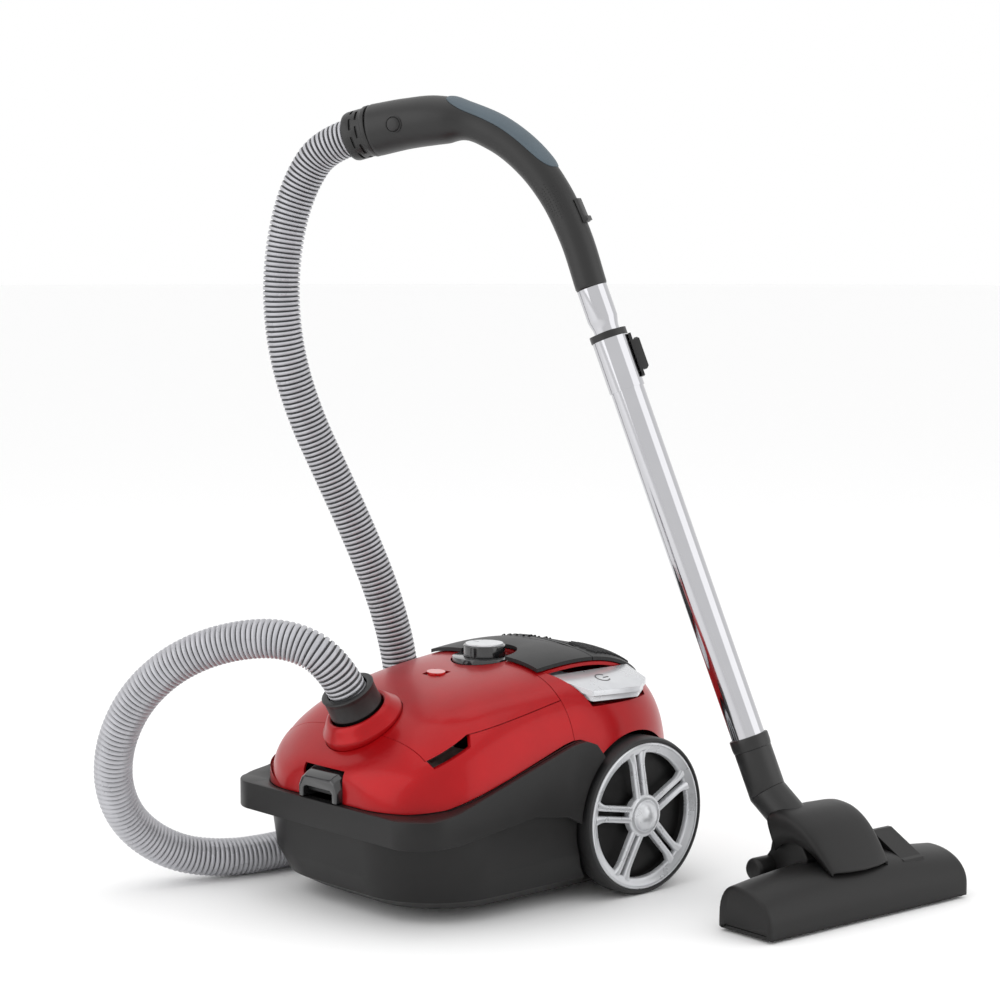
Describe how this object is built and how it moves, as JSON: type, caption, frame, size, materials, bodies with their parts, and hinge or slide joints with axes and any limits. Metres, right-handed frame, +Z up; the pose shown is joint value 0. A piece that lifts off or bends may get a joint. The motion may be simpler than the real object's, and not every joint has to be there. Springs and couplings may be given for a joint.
{
  "type": "canister vacuum cleaner",
  "caption": "Canister vacuum cleaner with a hinged top lid, large rear wheels, ribbed hose, curved handle, telescopic tube and tilting floor head.",
  "frame": {"origin": "on the floor, under the middle of the whole assembly's box without the hose", "axes": "+Z up, -Y towards the canister's front where the hose plugs in, +X towards the side where the wand and floor head stand"},
  "size_m": [0.6544, 0.6758, 0.8226],
  "materials": {
    "red": "pearl metallic red lacquer",
    "red_lens": "glossy translucent red",
    "charcoal": "satin, finely grained",
    "dark_grey": "satin",
    "black_gloss": "gloss",
    "black_satin": "satin, finely grained",
    "silver_plastic": "silver metallic lacquer",
    "chrome": "mirror chrome plating",
    "steel": "ground",
    "aluminium": "satin",
    "tyre": "satin rubber",
    "seal_rubber": "soft rubber",
    "grip_rubber": "slate grey soft touch",
    "hose_grey": "silver grey, ribbed",
    "foam": "open foam",
    "bag_cloth": "non-woven",
    "card": "plain",
    "board": "resin board",
    "cord_pvc": "wound mains cord",
    "bristle": "nylon bristle"
  },
  "bodies": {
    "canister": {"chassis_tub": "charcoal", "belt_rail": "charcoal", "front_cover": "red", "rear_cover": "red", "top_deck": "dark_grey", "inlet_ring": "red", "inlet_seal": "seal_rubber", "latch_housing": "black_gloss", "knob_bezel": "black_gloss", "circuit_board": "board", "rear_axles": "steel", "bag_plate": "card", "bag_holder": "charcoal", "dust_bag": "bag_cloth", "partition_wall": "charcoal", "motor_filter": "foam", "motor_housing": "steel", "reel_bracket": "charcoal", "exhaust_filter": "foam", "cord_gland": "seal_rubber", "pedal_springs": "steel"},
    "lid": {"lid": "red", "bag_indicator": "red_lens"},
    "lid_latch": {"lid_latch": "dark_grey"},
    "exhaust_grille": {"exhaust_grille": "dark_grey"},
    "knob": {"control_knob": "black_gloss", "knob_cap": "silver_plastic"},
    "power_pedal": {"power_pedal": "silver_plastic"},
    "rewind_pedal": {"rewind_pedal": "silver_plastic"},
    "wheel_left": {"tyre_left": "tyre", "wheel_disc_left": "charcoal", "wheel_rim_left": "silver_plastic"},
    "wheel_right": {"tyre_right": "tyre", "wheel_disc_right": "charcoal", "wheel_rim_right": "silver_plastic"},
    "caster": {"caster_fork": "charcoal"},
    "caster_wheel": {"caster_wheel": "tyre"},
    "motor_rotor": {"motor_rotor": "steel", "fan_impeller": "aluminium"},
    "cord_reel": {"cord_reel": "charcoal", "cord_winding": "cord_pvc"},
    "hose_set": {"hose": "hose_grey", "lower_tube": "chrome", "tube_seal": "black_satin", "head_sleeve": "black_satin"},
    "connector": {"hose_connector": "black_satin"},
    "handle": {"upper_tube": "chrome", "handle_shell": "black_satin", "grip_pad": "grip_rubber"},
    "hose_cuff": {"hose_cuff": "black_satin"},
    "suction_slider": {"suction_slider": "black_satin"},
    "tube_button": {"tube_button": "black_satin"},
    "elbow": {"elbow": "black_satin"},
    "head": {"head_body": "charcoal", "head_hood": "charcoal", "sole_plate": "charcoal", "head_pins": "steel"},
    "head_pedal": {"head_pedal": "charcoal"},
    "brush_strips": {"brush_strips": "bristle"},
    "head_rollers": {"head_rollers": "tyre"}
  },
  "joints": [
    {"name": "lid_hinge", "type": "hinge", "parent": "canister", "child": "lid", "pos_m": [-0.1085, -0.054, 0.239], "axis": [-1, 0, 0], "range_deg": [0, 60]},
    {"name": "latch_lift", "type": "slide", "parent": "canister", "child": "lid_latch", "axis": [0, 0, 1], "range_m": [0, 0.004], "stiffness_N_per_m": 400},
    {"name": "grille_lift", "type": "slide", "parent": "canister", "child": "exhaust_grille", "axis": [0, 0, 1], "range_m": [0, 0.06]},
    {"name": "knob_turn", "type": "hinge", "parent": "canister", "child": "knob", "pos_m": [-0.1085, -0.05, 0.239], "axis": [0, 0, -1], "range_deg": [-135, 135]},
    {"name": "power_press", "type": "slide", "parent": "canister", "child": "power_pedal", "axis": [0, 0, -1], "range_m": [0, 0.003], "stiffness_N_per_m": 600},
    {"name": "rewind_press", "type": "slide", "parent": "canister", "child": "rewind_pedal", "axis": [0, 0, -1], "range_m": [0, 0.003], "stiffness_N_per_m": 600},
    {"name": "wheel_left_spin", "type": "hinge", "parent": "canister", "child": "wheel_left", "pos_m": [0.0365, 0.032, 0.082], "axis": [1, 0, 0], "continuous": true},
    {"name": "wheel_right_spin", "type": "hinge", "parent": "canister", "child": "wheel_right", "pos_m": [-0.2535, 0.032, 0.082], "axis": [1, 0, 0], "continuous": true},
    {"name": "caster_swivel", "type": "hinge", "parent": "canister", "child": "caster", "pos_m": [-0.1085, -0.158, 0.03], "axis": [0, 0, 1], "continuous": true},
    {"name": "caster_roll", "type": "hinge", "parent": "caster", "child": "caster_wheel", "pos_m": [-0.1085, -0.15, 0.0096], "axis": [1, 0, 0], "continuous": true},
    {"name": "motor_spin", "type": "hinge", "parent": "canister", "child": "motor_rotor", "pos_m": [-0.1665, 0.032, 0.098], "axis": [0, 1, 0], "continuous": true},
    {"name": "reel_spin", "type": "hinge", "parent": "canister", "child": "cord_reel", "pos_m": [-0.0525, 0.044, 0.104], "axis": [1, 0, 0], "continuous": true},
    {"name": "hose_unplug", "type": "slide", "parent": "canister", "child": "hose_set", "axis": [0, -0.5, 0.866], "range_m": [0, 0.06]},
    {"name": "connector_swivel", "type": "hinge", "parent": "hose_set", "child": "connector", "pos_m": [-0.1085, -0.215, 0.193], "axis": [0, -0.5, 0.866], "continuous": true},
    {"name": "telescope", "type": "slide", "parent": "hose_set", "child": "handle", "axis": [-0.3209, -0.1519, 0.9348], "range_m": [0, 0.3], "deforming": ["hose"]},
    {"name": "cuff_swivel", "type": "hinge", "parent": "handle", "child": "hose_cuff", "pos_m": [-0.24449, -0.08325, 0.7875], "axis": [-0.8777, -0.4156, -0.2385], "continuous": true},
    {"name": "suction_slide", "type": "slide", "parent": "handle", "child": "suction_slider", "axis": [-0.374, -0.1771, 0.9104], "range_m": [-0.01, 0]},
    {"name": "tube_release", "type": "slide", "parent": "hose_set", "child": "tube_button", "axis": [0.3209, 0.1519, -0.9348], "range_m": [0, 0.006], "stiffness_N_per_m": 300},
    {"name": "elbow_swivel", "type": "hinge", "parent": "hose_set", "child": "elbow", "pos_m": [0.15252, 0.10469, 0.11396], "axis": [0.5591, 0.1315, -0.8186], "range_deg": [-60, 60]},
    {"name": "head_tilt", "type": "hinge", "parent": "elbow", "child": "head", "pos_m": [0.22501, 0.12836, 0.036], "axis": [0.0445, 0.999, 0], "range_deg": [0, 20]},
    {"name": "pedal_rock", "type": "slide", "parent": "head", "child": "head_pedal", "axis": [0, 0, -1], "range_m": [0, 0.002]},
    {"name": "brush_drop", "type": "slide", "parent": "head", "child": "brush_strips", "axis": [0, 0, -1], "range_m": [0, 0.004]},
    {"name": "roller_spin", "type": "hinge", "parent": "head", "child": "head_rollers", "pos_m": [0.19704, 0.1296, 0.008], "axis": [0.0445, 0.999, 0], "continuous": true}
  ],
  "couplings": [
    {"joint": "brush_drop", "follows": "pedal_rock", "ratio": 2}
  ]
}
